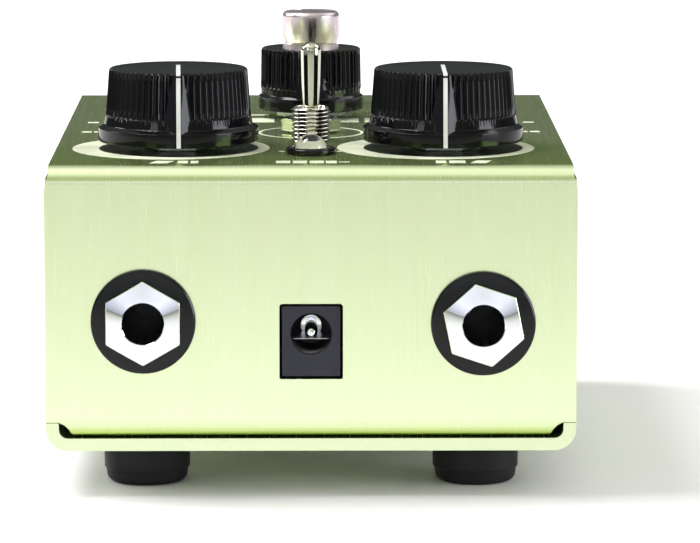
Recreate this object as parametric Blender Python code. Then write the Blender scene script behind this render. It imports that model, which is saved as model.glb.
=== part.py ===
"""Guitar effects pedal: a folded sheet-metal case with its controls, sockets and boards.

Every separate piece is one object.  Lengths are in millimetres until a mesh is made.
The origin is under the middle of the pedal, on the floor.  +X is right, -Y is the end
with the sockets, +Y is the end with the footswitch, and +Z is up.
"""
import math

import bmesh
import bpy

MM = 0.001

# Case, in millimetres
CASE_WIDTH = 82.0
CASE_LENGTH = 108.0
CASE_HEIGHT = 44.3
FOOT_HEIGHT = 7.2
SHEET = 2.0
SEAM = 0.2
TOP_BEND = 2.8
LIP_BEND = 2.2
LIP_LENGTH = 10.5
TRAY_CORNER = 3.4
PANEL_INSET = 0.6
SHOULDER_HEIGHT = 4.4
CORNER_CUT = 2.15

# Sockets, in millimetres
NUT_PROUD = 3.2
INPUT_PLACE = (-25.87, 24.0)
OUTPUT_PLACE = (26.53, 24.34)
JACK_BORE = 3.225
JACK_NUT = 11.37
JACK_WASHER = 8.08
DC_WIDTH = 9.8
DC_HEIGHT = 11.75
DC_GAP = 0.38
DC_TOP_DROP = 21.3
DC_HOLE_DROP = 26.03
DC_BORE = 3.22

# Where the controls stand: distance behind the socket face, in millimetres
KNOB_X = 21.0
KNOB_DEPTH = 24.8
TONE_DEPTH = 70.8
TOGGLE_DEPTH = 35.3
TRIMMER_DEPTH = 46.5
LED_DEPTH = 17.2
SWITCH_DEPTH = 91.0
FOOT_X = 25.9
FOOT_DEPTH = 14.5
SCREW_X = 14.0
SCREW_DEPTH = 6.5

# Heights below the top panel's outer face, in millimetres
UNDER_PANEL = -SHEET - 0.3
BOARD_TOP_DROP = 13.5
BOARD_THICK = 1.6
JACK_BOARD_TOP = 18.2

FACE_Y = (NUT_PROUD - CASE_LENGTH) / 2
FAR_Y = FACE_Y + CASE_LENGTH
TOP_Z = FOOT_HEIGHT + CASE_HEIGHT
HALF_WIDTH = CASE_WIDTH / 2
INSIDE_FLOOR = FOOT_HEIGHT + SHEET
LIP_UNDERSIDE = INSIDE_FLOOR + 0.3
BOARD_TOP = TOP_Z - BOARD_TOP_DROP
FACING_OUT = (math.pi / 2, 0, 0)


# ---- materials ---------------------------------------------------------------

def material(name, colour, roughness, metallic=0.0, alpha=1.0):
    """Return a Principled material."""
    made = bpy.data.materials.new(name)
    made.use_nodes = True
    shader = made.node_tree.nodes["Principled BSDF"]
    shader.inputs["Base Color"].default_value = (*colour, 1.0)
    shader.inputs["Roughness"].default_value = roughness
    shader.inputs["Metallic"].default_value = metallic
    shader.inputs["Alpha"].default_value = alpha
    made.diffuse_color = (*colour, alpha)
    return made


def make_materials():
    """Return every material by name."""
    return {
        "lime_anodised": material("lime_anodised", (0.70, 0.86, 0.36), 0.35, 1.0),
        "knob_plastic": material("knob_plastic", (0.012, 0.012, 0.014), 0.22),
        "pointer_white": material("pointer_white", (0.90, 0.90, 0.88), 0.45),
        "black_plastic": material("black_plastic", (0.02, 0.02, 0.024), 0.3),
        "chrome": material("chrome", (0.86, 0.86, 0.88), 0.08, 1.0),
        "steel": material("steel", (0.56, 0.56, 0.57), 0.35, 1.0),
        "rubber": material("rubber", (0.02, 0.02, 0.02), 0.7),
        "clear_lens": material("clear_lens", (0.93, 0.95, 0.95), 0.05, 0.0, 0.35),
        "circuit_board": material("circuit_board", (0.03, 0.17, 0.08), 0.5),
        "contact_brass": material("contact_brass", (0.78, 0.62, 0.30), 0.3, 1.0),
    }


# ---- making objects ------------------------------------------------------------

def add_object(name, bm, look, location=(0, 0, 0), rotation=(0, 0, 0), parent=None):
    """Turn a closed bmesh in millimetres into a placed object in metres."""
    bmesh.ops.recalc_face_normals(bm, faces=bm.faces)
    bmesh.ops.scale(bm, vec=(MM, MM, MM), verts=bm.verts)
    mesh = bpy.data.meshes.new(name)
    bm.to_mesh(mesh)
    bm.free()
    mesh.shade_smooth()
    mesh.set_sharp_from_angle(angle=math.radians(32))
    made = bpy.data.objects.new(name, mesh)
    if look is not None:
        mesh.materials.append(look)
    made.location = [value * MM for value in location]
    made.rotation_euler = rotation
    made.parent = parent
    bpy.context.scene.collection.objects.link(made)
    return made


def add_axis(name, location):
    """Add an empty that marks a moving piece's axis."""
    axis = bpy.data.objects.new(name, None)
    axis.empty_display_size = 0.01
    axis.location = [value * MM for value in location]
    bpy.context.scene.collection.objects.link(axis)
    return axis


def prism_mesh(outline, axis, low, high):
    """Return a bmesh of a flat outline drawn out along X, Y or Z."""
    def corner(point, along):
        u, v = point
        return {"X": (along, u, v), "Y": (u, along, v), "Z": (u, v, along)}[axis]

    bm = bmesh.new()
    near = [bm.verts.new(corner(point, low)) for point in outline]
    far = [bm.verts.new(corner(point, high)) for point in outline]
    bm.faces.new(near)
    bm.faces.new(list(reversed(far)))
    for i in range(len(outline)):
        j = (i + 1) % len(outline)
        bm.faces.new((near[i], far[i], far[j], near[j]))
    return bm


def box_mesh(low, high):
    """Return a bmesh box between two corners."""
    outline = [(low[0], low[1]), (high[0], low[1]), (high[0], high[1]), (low[0], high[1])]
    return prism_mesh(outline, "Z", low[2], high[2])


def turned_mesh(profile, segments=24, phase=0.0):
    """Return a bmesh turned about Z from (radius, height) points.

    A profile that starts and ends on the axis is a solid, and any other is a closed ring.
    A radius may be a function of the angle, which makes a hexagon.
    """
    bm = bmesh.new()
    rings = []
    for radius, height in profile:
        if radius == 0:
            rings.append([bm.verts.new((0, 0, height))])
            continue
        ring = []
        for step in range(segments):
            angle = 2 * math.pi * step / segments
            size = radius(angle) if callable(radius) else radius
            turn = angle + phase
            ring.append(bm.verts.new((size * math.cos(turn), size * math.sin(turn), height)))
        rings.append(ring)
    solid = len(rings[0]) == 1
    pairs = list(zip(rings, rings[1:]))
    if not solid:
        pairs.append((rings[-1], rings[0]))
    for lower, upper in pairs:
        join_rings(bm, lower, upper, segments)
    return bm


def join_rings(bm, lower, upper, segments):
    """Join two rings of a turned mesh, either of which may be one point on the axis."""
    for i in range(segments):
        j = (i + 1) % segments
        if len(lower) == 1:
            bm.faces.new((lower[0], upper[j], upper[i]))
        elif len(upper) == 1:
            bm.faces.new((lower[i], lower[j], upper[0]))
        else:
            bm.faces.new((lower[i], lower[j], upper[j], upper[i]))


def hexagon(across_flats):
    """Return the radius of a hexagon as a function of the angle, with a corner at 0."""
    def radius(angle):
        from_flat = (angle % (math.pi / 3)) - math.pi / 6
        return across_flats / 2 / math.cos(from_flat)
    return radius


def arc(centre, radius, start, end, steps=6):
    """Return points on an arc, in degrees, both ends included."""
    points = []
    for step in range(steps + 1):
        angle = math.radians(start + (end - start) * step / steps)
        points.append((centre[0] + radius * math.cos(angle), centre[1] + radius * math.sin(angle)))
    return points


def combine(target, tool, operation):
    """Leave an exact Boolean on the target, and keep the tool out of the build."""
    tool.hide_render = True
    tool.display_type = "WIRE"
    change = target.modifiers.new(tool.name, "BOOLEAN")
    change.object = tool
    change.operation = operation
    change.solver = "EXACT"


def cut(target, name, bm, location=(0, 0, 0), rotation=(0, 0, 0), parent=None):
    """Cut a shape out of the target."""
    combine(target, add_object(name, bm, None, location, rotation, parent), "DIFFERENCE")


def fuse(target, name, bm, location=(0, 0, 0), rotation=(0, 0, 0), parent=None):
    """Add a shape to the target as the same solid."""
    combine(target, add_object(name, bm, None, location, rotation, parent), "UNION")


def hole_mesh(radius, low, high, segments=24):
    """Return a plain round cutter."""
    return turned_mesh([(0, low), (radius, low), (radius, high), (0, high)], segments)


# ---- case ------------------------------------------------------------------------

def flap_outline(face, inward):
    """Return one folded end in the YZ plane, from its lip's tip up its outer side."""
    bend = LIP_BEND
    tip = face + inward * LIP_LENGTH
    angles = (270, 180) if inward > 0 else (270, 360)
    outer = arc((face + inward * bend, LIP_UNDERSIDE + bend), bend, *angles)
    return [(tip, LIP_UNDERSIDE)] + outer


def cover_outline():
    """Return the cover's folded section, outer line then inner line."""
    near = flap_outline(FACE_Y, 1)
    far = list(reversed(flap_outline(FAR_Y, -1)))
    near_top = arc((FACE_Y + TOP_BEND, TOP_Z - TOP_BEND), TOP_BEND, 180, 90)
    far_top = arc((FAR_Y - TOP_BEND, TOP_Z - TOP_BEND), TOP_BEND, 90, 0)
    inner_bend = TOP_BEND - SHEET
    inner_far = arc((FAR_Y - TOP_BEND, TOP_Z - TOP_BEND), inner_bend, 0, 90, 3)
    inner_near = arc((FACE_Y + TOP_BEND, TOP_Z - TOP_BEND), inner_bend, 90, 180, 3)
    lip_top = LIP_UNDERSIDE + SHEET
    inside = [(FAR_Y - LIP_LENGTH, lip_top), (FAR_Y - SHEET, lip_top)]
    inside += inner_far + inner_near
    inside += [(FACE_Y + SHEET, lip_top), (FACE_Y + LIP_LENGTH, lip_top)]
    return near + near_top + far_top + far + inside


def add_cover(looks):
    """Add the folded cover: top panel, two end flaps and their in-turned lips."""
    bm = prism_mesh(cover_outline(), "X", -HALF_WIDTH, HALF_WIDTH)
    cover = add_object("cover_shell", bm, looks["lime_anodised"])
    shoulder = INSIDE_FLOOR + SHOULDER_HEIGHT - SHEET + SEAM
    wall_inside = HALF_WIDTH - SHEET
    for side, sign in (("left", -1), ("right", 1)):
        edge = sorted((sign * (HALF_WIDTH - PANEL_INSET), sign * (HALF_WIDTH + 1)))
        bm = box_mesh((edge[0], FACE_Y - 1, TOP_Z - TOP_BEND), (edge[1], FAR_Y + 1, TOP_Z + 1))
        cut(cover, "relief_cutter_" + side, bm)
        corner = [(wall_inside, shoulder), (wall_inside - CORNER_CUT, shoulder - CORNER_CUT),
                  (wall_inside - CORNER_CUT, 5.0), (HALF_WIDTH + 1, 5.0), (HALF_WIDTH + 1, shoulder)]
        outline = [(sign * x, z) for x, z in corner]
        cut(cover, "corner_cutter_" + side, prism_mesh(outline, "Y", FACE_Y - 1, FAR_Y + 1))
    cut_panel_holes(cover)
    cut_face_holes(cover)
    for name, x, y in corner_places(SCREW_X, SCREW_DEPTH):
        cut(cover, "lip_hole_cutter_" + name, hole_mesh(1.75, LIP_UNDERSIDE - 1, LIP_UNDERSIDE + 4, 12),
            (x, y, 0))


def cut_panel_holes(cover):
    """Cut the round holes that the controls stand in."""
    holes = (("input", -KNOB_X, KNOB_DEPTH, 3.8), ("output", KNOB_X, KNOB_DEPTH, 3.8),
             ("tone", 0, TONE_DEPTH, 3.8), ("toggle", 0, TOGGLE_DEPTH, 3.35),
             ("trimmer", 0, TRIMMER_DEPTH, 3.3), ("led", 0, LED_DEPTH, 3.4),
             ("switch", 0, SWITCH_DEPTH, 6.3))
    for name, x, depth, radius in holes:
        bm = hole_mesh(radius, TOP_Z - SHEET - 1, TOP_Z + 1)
        cut(cover, name + "_hole_cutter", bm, (x, FACE_Y + depth, 0))


def cut_face_holes(cover):
    """Cut the two round socket holes and the power socket's window."""
    for name, (x, drop) in (("input", INPUT_PLACE), ("output", OUTPUT_PLACE)):
        cut(cover, name + "_socket_cutter", hole_mesh(4.3, -SHEET - 1, 1),
            (x, FACE_Y, TOP_Z - drop), FACING_OUT)
    top = TOP_Z - DC_TOP_DROP
    bm = box_mesh((-DC_WIDTH / 2, FACE_Y - 1, top - DC_HEIGHT), (DC_WIDTH / 2, FACE_Y + SHEET + 0.5, top))
    cut(cover, "power_window_cutter", bm)


def tray_outline():
    """Return the base tray's U section in the XZ plane."""
    wall_top = TOP_Z - SHEET - SEAM
    corner = FOOT_HEIGHT + TRAY_CORNER
    inner = TRAY_CORNER - SHEET
    right = HALF_WIDTH - TRAY_CORNER
    outside = [(-HALF_WIDTH, wall_top)] + arc((-right, corner), TRAY_CORNER, 180, 270)
    outside += arc((right, corner), TRAY_CORNER, 270, 360) + [(HALF_WIDTH, wall_top)]
    inside = [(HALF_WIDTH - SHEET, wall_top)] + arc((right, corner), inner, 360, 270)
    inside += arc((-right, corner), inner, 270, 180) + [(SHEET - HALF_WIDTH, wall_top)]
    return outside + inside


def add_tray(looks):
    """Add the base tray, whose walls stop short behind the cover's flaps."""
    tray = add_object("base_tray", prism_mesh(tray_outline(), "Y", FACE_Y, FAR_Y), looks["lime_anodised"])
    shoulder = INSIDE_FLOOR + SHOULDER_HEIGHT - SHEET
    for name, low, high in (("near", FACE_Y - 1, FACE_Y + SHEET + 0.3),
                            ("far", FAR_Y - SHEET - 0.3, FAR_Y + 1)):
        bm = box_mesh((-HALF_WIDTH - 1, low, shoulder), (HALF_WIDTH + 1, high, TOP_Z))
        cut(tray, "wall_cutter_" + name, bm)
    for x_place, depth in ((FOOT_X, FOOT_DEPTH), (SCREW_X, SCREW_DEPTH)):
        for name, x, y in corner_places(x_place, depth):
            bm = hole_mesh(1.75, FOOT_HEIGHT - 1, INSIDE_FLOOR + 1, 12)
            cut(tray, "tray_hole_cutter_%d_%s" % (x_place, name), bm, (x, y, 0))
    sink = [(0, FOOT_HEIGHT - 1), (3.1, FOOT_HEIGHT - 1), (3.1, FOOT_HEIGHT + 0.3), (1.6, FOOT_HEIGHT + 1.8),
            (0, FOOT_HEIGHT + 1.8)]
    for name, x, y in corner_places(SCREW_X, SCREW_DEPTH):
        cut(tray, "countersink_cutter_" + name, turned_mesh(sink, 12), (x, y, 0))


def corner_places(x, depth):
    """Return four named places, mirrored across the pedal and end to end."""
    near, far = FACE_Y + depth, FAR_Y - depth
    return (("near_left", -x, near), ("near_right", x, near), ("far_left", -x, far), ("far_right", x, far))


def add_feet(looks):
    """Add four tapered rubber feet, each with a screw in its hollow."""
    top = FOOT_HEIGHT - SEAM
    foot = [(1.75, top), (6.8, top), (6.75, 5.6), (6.5, 2.2), (6.3, 1.0), (6.05, 0.3), (5.7, 0),
            (3.6, 0), (3.6, 4.4), (1.75, 4.4)]
    screw = [(0, 1.9), (2.4, 1.9), (3.0, 2.5), (3.0, 4.1), (1.5, 4.1), (1.5, 12.4), (0, 12.4)]
    for name, x, y in corner_places(FOOT_X, FOOT_DEPTH):
        add_object("foot_" + name, turned_mesh(foot, 20), looks["rubber"], (x, y, 0))
        add_object("foot_screw_" + name, turned_mesh(screw, 12), looks["steel"], (x, y, 0))


def add_base_screws(looks):
    """Add the four countersunk screws that hold the tray to the cover's lips."""
    head = FOOT_HEIGHT + 0.1
    screw = [(0, head), (2.75, head), (2.75, head + 0.2), (1.5, head + 1.45), (1.5, LIP_UNDERSIDE + 3.4),
             (0, LIP_UNDERSIDE + 3.4)]
    for name, x, y in corner_places(SCREW_X, SCREW_DEPTH):
        add_object("base_screw_" + name, turned_mesh(screw, 12), looks["steel"], (x, y, 0))


# ---- boards ------------------------------------------------------------------------

def add_boards(looks):
    """Add the control board, the socket board, their link and two large components."""
    board, plastic = looks["circuit_board"], looks["black_plastic"]
    low = BOARD_TOP - BOARD_THICK
    bm = box_mesh((-36, FACE_Y + 6, low), (36, FACE_Y + 80, BOARD_TOP))
    add_object("control_board", bm, board)
    bm = box_mesh((-35, FACE_Y + 3, JACK_BOARD_TOP - BOARD_THICK), (35, FACE_Y + 36, JACK_BOARD_TOP))
    add_object("socket_board", bm, board)
    bm = box_mesh((-12.7, FACE_Y + 30.5, JACK_BOARD_TOP + 0.3), (12.7, FACE_Y + 33, low - 0.3))
    add_object("board_link", bm, plastic)
    bm = box_mesh((-26, FACE_Y + 50, low - 3.9), (-16.2, FACE_Y + 56.4, low - 0.3))
    add_object("amplifier_chip", bm, plastic)
    can = [(0, low - 11.3), (3.7, low - 11.3), (4.0, low - 11.0), (4.0, low - 0.3), (0, low - 0.3)]
    add_object("filter_capacitor", turned_mesh(can, 16), plastic, (20, FACE_Y + 56, 0))


# ---- rotary controls ------------------------------------------------------------------

BIG_KNOB = {
    "rim": 12.7, "rim_low": 1.4, "rim_high": 3.4, "neck": 11.75, "waist": 11.5, "waist_height": 5.4,
    "crown": 10.98, "crown_height": 12.5, "flat": 10.5, "height": 12.85, "hollow": 8.2,
    "fin_top": 0.9, "fin_foot": 2.3, "fin_reach": 13.0, "line_back": 3.9,
}
SMALL_KNOB = {
    "rim": 8.8, "rim_low": 1.4, "rim_high": 3.6, "neck": 8.35, "waist": 8.45, "waist_height": 5.1,
    "crown": 8.35, "crown_height": 11.4, "flat": 7.9, "height": 11.75, "hollow": 6.6,
    "fin_top": 0.9, "fin_foot": 2.6, "fin_reach": 9.2, "line_back": 2.9,
}
NECK_HEIGHT = 4.0
SHAFT = 3.0
SHAFT_BORE = 3.15
HOLLOW_TOP = 4.9
LINE_HALF = 0.34
LINE_DEPTH = 0.5
INPUT_AIM = math.radians(1.7)


def knob_profile(size):
    """Return a knob's section: fluted crown over a smooth rim, hollow below."""
    height = size["height"]
    bore_top = height - 2.0
    rim, low, rim_high = size["rim"], size["rim_low"], size["rim_high"]
    return [(0, height), (size["flat"], height), (size["crown"], size["crown_height"]),
            (size["waist"], size["waist_height"]), (size["neck"], NECK_HEIGHT), (rim, rim_high),
            (rim, low + 0.25), (rim - 0.3, low), (size["hollow"], low),
            (size["hollow"], HOLLOW_TOP), (SHAFT_BORE, HOLLOW_TOP), (SHAFT_BORE, bore_top), (0, bore_top)]


def fin_mesh(size):
    """Return the pointer fin that runs down the knob's -Y side, wider at its foot."""
    bm = bmesh.new()
    rings = []
    for height, half, root, ridge in (
            (size["rim_low"], size["fin_foot"], size["hollow"] + 1.2, size["fin_reach"]),
            (size["crown_height"], size["fin_top"], size["crown"] - 3.0, size["crown"] + 0.25),
            (size["height"], size["fin_top"], size["flat"] - 3.0, size["flat"])):
        outline = ((-half, -root), (half, -root), (half, -ridge + 0.9), (LINE_HALF, -ridge),
                   (-LINE_HALF, -ridge), (-half, -ridge + 0.9))
        rings.append([bm.verts.new((x, y, height)) for x, y in outline])
    for lower, upper in zip(rings, rings[1:]):
        join_rings(bm, lower, upper, len(lower))
    bm.faces.new(rings[0])
    bm.faces.new(rings[-1])
    return bm


def line_outline(size, grow):
    """Return the pointer line in the YZ plane: along the top, then down the fin's ridge."""
    low, crown, high = size["rim_low"], size["crown_height"], size["height"]
    ridge_top, ridge_low = size["crown"] + 0.25, size["fin_reach"]
    depth = LINE_DEPTH + grow
    proud = grow * 2
    back = size["line_back"] + grow
    return [(back, high + proud), (-size["flat"], high + proud), (-ridge_top - proud, crown + proud),
            (-ridge_low - proud, low - proud), (-ridge_low + depth, low - proud),
            (-ridge_top + depth, crown - depth), (-size["flat"], high - depth), (back, high - depth)]


def add_rotary(looks, name, size, x, depth, aim=0.0):
    """Add one rotary control: its fixed body and nut, and its turning shaft and knob.

    The aim is how far the knob rests turned away from straight ahead, in radians.
    """
    axis = add_axis(name + "_axis", (x, FACE_Y + depth, TOP_Z))
    base = -BOARD_TOP_DROP + 0.3
    body = [(0, base), (6, base), (6, -9.5), (8.4, -9.5), (8.4, UNDER_PANEL), (3.5, UNDER_PANEL), (3.5, 4.6),
            (SHAFT + 0.06, 4.6), (SHAFT + 0.06, -8.8), (0, -8.8)]
    place = (x, FACE_Y + depth, TOP_Z)
    add_object(name + "_pot_body", turned_mesh(body, 18), looks["steel"], place)
    nut = [(hexagon(10.0), SEAM), (hexagon(10.0), 2.3), (3.7, 2.3), (3.7, SEAM)]
    add_object(name + "_pot_nut", turned_mesh(nut), looks["steel"], place)
    shaft_top = size["height"] - 2.3
    shaft = [(0, -8.5), (SHAFT, -8.5), (SHAFT, shaft_top - 0.5), (SHAFT - 0.5, shaft_top), (0, shaft_top)]
    add_object(name + "_shaft", turned_mesh(shaft, 18), looks["steel"], parent=axis)
    turn = (0, 0, aim)
    knob = add_object(name + "_knob", turned_mesh(knob_profile(size), 32), looks["knob_plastic"],
                      rotation=turn, parent=axis)
    fuse(knob, name + "_fin", fin_mesh(size), rotation=turn, parent=axis)
    groove = prism_mesh(line_outline(size, 0.15), "X", -LINE_HALF - 0.1, LINE_HALF + 0.1)
    cut(knob, name + "_groove_cutter", groove, rotation=turn, parent=axis)
    bm = prism_mesh(line_outline(size, 0), "X", -LINE_HALF, LINE_HALF)
    add_object(name + "_pointer", bm, looks["pointer_white"], rotation=turn, parent=axis)


# ---- toggle, trimmer and lamp ------------------------------------------------------------

LEVER_PIVOT = 0.5
LEVER_TOP = 15.9
LEVER_BASE = 1.25
LEVER_TIP = 1.6


def add_toggle(looks):
    """Add the toggle: body, threaded bushing, inside nut and the lever on its pivot."""
    place = (0, FACE_Y + TOGGLE_DEPTH, TOP_Z)
    body_low = -BOARD_TOP_DROP + 0.3
    bm = box_mesh((-3.45, -6.35, body_low), (3.45, 6.35, -5.4))
    add_object("toggle_body", bm, looks["black_plastic"], place)
    bushing = [(3.12, -5.1), (3.12, 5.15), (2.85, 5.45), (2.45, 5.45), (2.45, -5.1)]
    add_object("toggle_bushing", turned_mesh(bushing), looks["chrome"], place)
    nut = [(hexagon(8.0), -4.3), (hexagon(8.0), UNDER_PANEL), (3.3, UNDER_PANEL), (3.3, -4.3)]
    add_object("toggle_nut", turned_mesh(nut), looks["steel"], place)
    axis = add_axis("toggle_axis", (0, FACE_Y + TOGGLE_DEPTH, TOP_Z + LEVER_PIVOT))
    add_object("toggle_lever", turned_mesh(lever_profile(), 16), looks["chrome"], parent=axis)


def lever_profile():
    """Return the bat lever about its pivot: stub, ball, tapered bat and round tip."""
    ball = 2.1
    neck = math.degrees(math.acos(LEVER_BASE / ball))
    stub = math.degrees(math.acos(0.9 / ball))
    tip = arc((0, LEVER_TOP - LEVER_PIVOT - LEVER_TIP), LEVER_TIP, 0, 90, 4)[:-1]
    profile = [(0, -3.3), (0.9, -3.3)] + arc((0, 0), ball, -stub, neck, 5)
    return profile + tip + [(0, LEVER_TOP - LEVER_PIVOT)]


def add_trimmer(looks):
    """Add the small panel trimmer behind the toggle: body, hex nut and slotted shaft."""
    place = (0, FACE_Y + TRIMMER_DEPTH, TOP_Z)
    body = add_object("trimmer_body", box_mesh((-4.3, -4.3, -9.2), (4.3, 4.3, UNDER_PANEL)),
                      looks["black_plastic"], place)
    fuse(body, "trimmer_bushing", hole_mesh(3.0, UNDER_PANEL - 1, 2.7), place)
    cut(body, "trimmer_bore_cutter", hole_mesh(1.66, -8.0, 4.0), place)
    nut = [(hexagon(8.6), 0.45), (hexagon(8.6), 2.5), (3.2, 2.5), (3.2, 0.45)]
    add_object("trimmer_nut", turned_mesh(nut), looks["chrome"], place)
    axis = add_axis("trimmer_axis", place)
    shaft = [(0, -7.7), (1.6, -7.7), (1.6, 3.0), (1.4, 3.2), (0, 3.2)]
    shaft = add_object("trimmer_shaft", turned_mesh(shaft), looks["chrome"], parent=axis)
    cut(shaft, "trimmer_slot_cutter", box_mesh((-0.25, -3, 2.4), (0.25, 3, 4)), parent=axis)


def add_lamp(looks):
    """Add the clear lamp lens in its black bezel."""
    place = (0, FACE_Y + LED_DEPTH, TOP_Z)
    bezel = [(3.15, -4.0), (3.15, SEAM), (3.92, SEAM), (3.92, 0.8), (3.6, 1.1), (2.7, 1.1), (2.7, -4.0)]
    add_object("led_bezel", turned_mesh(bezel, 20), looks["black_plastic"], place)
    dome = arc((0, 0.57), 2.5, 0, 90, 5)[:-1]
    lens = [(0, -5.2), (2.5, -5.2)] + dome + [(0, 3.07)]
    add_object("led_lens", turned_mesh(lens, 20), looks["clear_lens"], place)


# ---- footswitch ------------------------------------------------------------------------------

SPRING_LOW = -6.0
SPRING_HIGH = 9.0


def add_footswitch(looks):
    """Add the footswitch: body, bushing, washer, nut, return spring and sliding button."""
    place = (0, FACE_Y + SWITCH_DEPTH, TOP_Z)
    body = box_mesh((-8.5, -8.5, -21), (8.5, 8.5, -6.3))
    add_object("footswitch_body", body, looks["black_plastic"], place)
    bushing = [(6.0, -6.0), (6.0, 7.1), (5.6, 7.5), (4.66, 7.5), (4.66, -6.0)]
    add_object("footswitch_bushing", turned_mesh(bushing, 32), looks["chrome"], place)
    washer = [(8.5, SEAM), (8.5, 1.0), (6.2, 1.0), (6.2, SEAM)]
    add_object("footswitch_washer", turned_mesh(washer, 24), looks["black_plastic"], place)
    nut = [(hexagon(14.0), 1.2), (hexagon(14.0), 3.7), (6.2, 3.7), (6.2, 1.2)]
    add_object("footswitch_nut", turned_mesh(nut), looks["chrome"], place)
    axis = add_axis("footswitch_axis", place)
    button = [(3.9, -1.0), (4.58, -1.0), (4.58, 14.9), (4.9, 15.2), (4.9, 15.85), (4.5, 16.2),
              (3.9, 15.9), (0, 15.75)]
    inside = [(0, SPRING_HIGH + 0.3), (3.9, SPRING_HIGH + 0.3)]
    add_object("footswitch_button", turned_mesh(inside + button, 32), looks["chrome"], parent=axis)
    add_object("footswitch_spring", spring_mesh(3.3, 0.3, SPRING_LOW, SPRING_HIGH, 6), looks["steel"], place)


def spring_mesh(radius, wire, low, high, turns, steps=12, sides=5):
    """Return a closed coil of round wire between two heights."""
    bm = bmesh.new()
    count = turns * steps
    rings = []
    for step in range(count + 1):
        angle = 2 * math.pi * step / steps
        height = low + wire + (high - low - 2 * wire) * step / count
        ring = []
        for side in range(sides):
            around = 2 * math.pi * side / sides
            reach = radius + wire * math.cos(around)
            ring.append(bm.verts.new((reach * math.cos(angle), reach * math.sin(angle),
                                      height + wire * math.sin(around))))
        rings.append(ring)
    for first, second in zip(rings, rings[1:]):
        join_rings(bm, first, second, sides)
    bm.faces.new(rings[0])
    bm.faces.new(rings[-1])
    return bm


# ---- sockets -----------------------------------------------------------------------------------

def add_audio_socket(looks, name, x, drop, nut_turn):
    """Add one jack socket, drawn with +Z out of the face and +Y up."""
    place = (x, FACE_Y, TOP_Z - drop)
    bottom = JACK_BOARD_TOP + 0.3 - (TOP_Z - drop)
    body = add_object(name + "_socket_body", box_mesh((-7.5, bottom, -26), (7.5, 7.5, UNDER_PANEL)),
                      looks["black_plastic"], place, FACING_OUT)
    fuse(body, name + "_socket_nose", hole_mesh(4.0, UNDER_PANEL - 1, 2.2), place, FACING_OUT)
    cut(body, name + "_socket_bore_cutter", hole_mesh(JACK_BORE, -24, 4), place, FACING_OUT)
    cut(body, name + "_contact_cutter", box_mesh((-1.1, 2.2, -27), (1.1, 5.0, -14)), place, FACING_OUT)
    washer = [(JACK_WASHER, SEAM), (JACK_WASHER, 0.75), (JACK_WASHER - 0.25, 1.0), (4.3, 1.05), (4.3, SEAM)]
    add_object(name + "_socket_washer", turned_mesh(washer, 28), looks["black_plastic"], place, FACING_OUT)
    hexed = hexagon(JACK_NUT)
    nut = [(hexed, 1.25), (hexed, NUT_PROUD), (JACK_BORE, NUT_PROUD), (JACK_BORE, 2.5), (4.3, 2.5),
           (4.3, 1.25)]
    add_object(name + "_socket_nut", turned_mesh(nut, 24, math.pi / 2 + nut_turn), looks["chrome"],
               place, FACING_OUT)
    add_object(name + "_tip_contact", box_mesh((-0.8, 2.5, -28.5), (0.8, 2.9, -14.5)),
               looks["contact_brass"], place, FACING_OUT)


def add_power_socket(looks):
    """Add the power socket and its centre pin, drawn with +Z out of the face and +Y up."""
    place = (0, FACE_Y, TOP_Z - DC_HOLE_DROP)
    top = DC_HOLE_DROP - DC_TOP_DROP - DC_GAP
    bottom = DC_HOLE_DROP - DC_TOP_DROP - DC_HEIGHT + DC_GAP
    half = DC_WIDTH / 2 - DC_GAP
    body = add_object("power_socket_body", box_mesh((-half, bottom, -14), (half, top, -0.2)),
                      looks["black_plastic"], place, FACING_OUT)
    cut(body, "power_bore_cutter", hole_mesh(DC_BORE, -10, 1), place, FACING_OUT)
    tip = arc((0, -2.3), 1.0, 0, 90, 4)[:-1]
    pin = [(0, -9.8), (1.72, -9.8), (1.72, -8.8), (1.0, -8.8)] + tip + [(0, -1.3)]
    add_object("power_socket_pin", turned_mesh(pin, 16), looks["chrome"], place, FACING_OUT)


# ---- the whole pedal ------------------------------------------------------------------------------

def build():
    """Clear the scene and add every piece."""
    for old in list(bpy.data.objects):
        bpy.data.objects.remove(old, do_unlink=True)
    looks = make_materials()
    add_cover(looks)
    add_tray(looks)
    add_feet(looks)
    add_base_screws(looks)
    add_boards(looks)
    add_rotary(looks, "input", BIG_KNOB, -KNOB_X, KNOB_DEPTH, INPUT_AIM)
    add_rotary(looks, "output", BIG_KNOB, KNOB_X, KNOB_DEPTH)
    add_rotary(looks, "tone", SMALL_KNOB, 0, TONE_DEPTH)
    add_toggle(looks)
    add_trimmer(looks)
    add_lamp(looks)
    add_footswitch(looks)
    add_audio_socket(looks, "input", *INPUT_PLACE, 0.0)
    add_audio_socket(looks, "output", *OUTPUT_PLACE, math.radians(11.6))
    add_power_socket(looks)


build()
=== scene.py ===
"""Looks of a guitar effects pedal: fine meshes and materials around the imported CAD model.

Lengths are in millimetres until a mesh or an object is made, and places are read from the
frame.  +X is right, -Y is the end with the sockets and +Z is up.
"""
import math

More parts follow.
